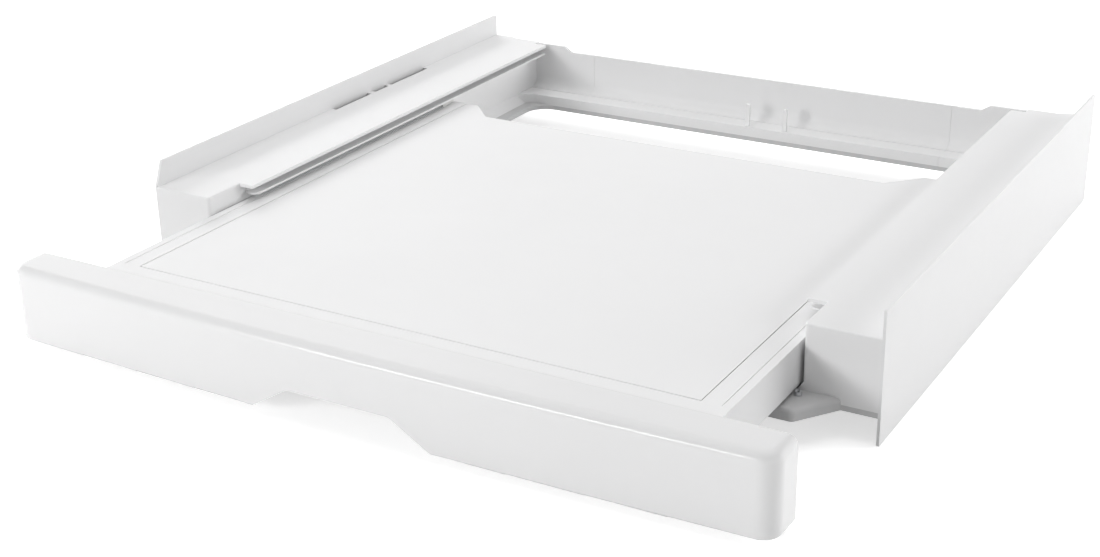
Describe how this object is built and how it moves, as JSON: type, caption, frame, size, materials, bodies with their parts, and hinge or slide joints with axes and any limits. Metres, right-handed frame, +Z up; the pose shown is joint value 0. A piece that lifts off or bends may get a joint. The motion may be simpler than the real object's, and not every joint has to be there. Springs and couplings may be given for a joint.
{
  "type": "laundry stacking kit with pull-out shelf",
  "caption": "Flat stacking frame with side lips that seats a dryer on a washer, with a pull-out shelf on rollers and a bowed front with a finger notch.",
  "frame": {"origin": "middle of the footprint, shelf pulled out as displayed, at the lower edges of the side panels", "axes": "+X to the right seen from the front, +Y from the fascia to the rear wall, +Z up"},
  "size_m": [0.608, 0.66, 0.096],
  "materials": {
    "white_satin": "satin moulded plastic, fine even grain",
    "white_gloss": "glossy moulded plastic",
    "white_sheet": "powder-coated sheet steel",
    "base_plastic": "satin moulded plastic",
    "nylon": "natural nylon",
    "rubber": "matt rubber",
    "steel": "zinc-plated steel",
    "strip": "white coated steel strip"
  },
  "bodies": {
    "frame": {"base_frame": "base_plastic", "base_pads": "rubber", "front_roller_axle_left": "steel", "front_roller_axle_right": "steel", "guide_pins": "steel", "housing_screws": "steel", "lug_screws": "steel", "rail_housing_left": "white_satin", "rail_housing_right": "white_satin", "rear_corner_left": "white_satin", "rear_corner_right": "white_satin", "rear_cross_member": "white_satin", "rear_prongs": "white_gloss", "rear_screws": "steel", "retainer_strip_left": "strip", "retainer_strip_right": "strip", "side_panel_left": "white_sheet", "side_panel_right": "white_sheet", "travel_stop_left": "rubber", "travel_stop_right": "rubber"},
    "shelf": {"shelf_panel": "white_satin", "shelf_side_rail_left": "white_satin", "shelf_side_rail_right": "white_satin", "shelf_front_bar": "white_satin", "shelf_rear_bar": "white_satin", "front_fascia": "white_gloss", "fascia_screws": "steel", "panel_screws": "steel", "rail_screws": "steel", "rear_roller_axle_left": "steel", "rear_roller_axle_right": "steel", "tail_glide_left": "nylon", "tail_glide_right": "nylon"},
    "front_roller_left": {"front_roller_left": "nylon"},
    "front_roller_right": {"front_roller_right": "nylon"},
    "rear_roller_left": {"rear_roller_left": "nylon"},
    "rear_roller_right": {"rear_roller_right": "nylon"}
  },
  "joints": [
    {"name": "shelf_slide", "type": "slide", "parent": "frame", "child": "shelf", "axis": [0, -1, 0], "range_m": [-0.116, 0.182]},
    {"name": "front_roller_left_turn", "type": "hinge", "parent": "frame", "child": "front_roller_left", "pos_m": [-0.2336, -0.167, 0.0254], "axis": [1, 0, 0], "range_deg": [-1255.02, 1968.52]},
    {"name": "front_roller_right_turn", "type": "hinge", "parent": "frame", "child": "front_roller_right", "pos_m": [0.2336, -0.167, 0.0254], "axis": [1, 0, 0], "range_deg": [-1255.02, 1968.52]},
    {"name": "rear_roller_left_turn", "type": "hinge", "parent": "shelf", "child": "rear_roller_left", "pos_m": [-0.2336, 0.143, 0.0363], "axis": [1, 0, 0], "range_deg": [-554.86, 869.99]},
    {"name": "rear_roller_right_turn", "type": "hinge", "parent": "shelf", "child": "rear_roller_right", "pos_m": [0.2336, 0.143, 0.0363], "axis": [1, 0, 0], "range_deg": [-554.86, 869.99]}
  ],
  "couplings": [
    {"joint": "front_roller_left_turn", "follows": "shelf_slide", "rad_per_m": 188.68},
    {"joint": "front_roller_right_turn", "follows": "shelf_slide", "rad_per_m": 188.68},
    {"joint": "rear_roller_left_turn", "follows": "shelf_slide", "rad_per_m": 83.333},
    {"joint": "rear_roller_right_turn", "follows": "shelf_slide", "rad_per_m": 83.333}
  ]
}
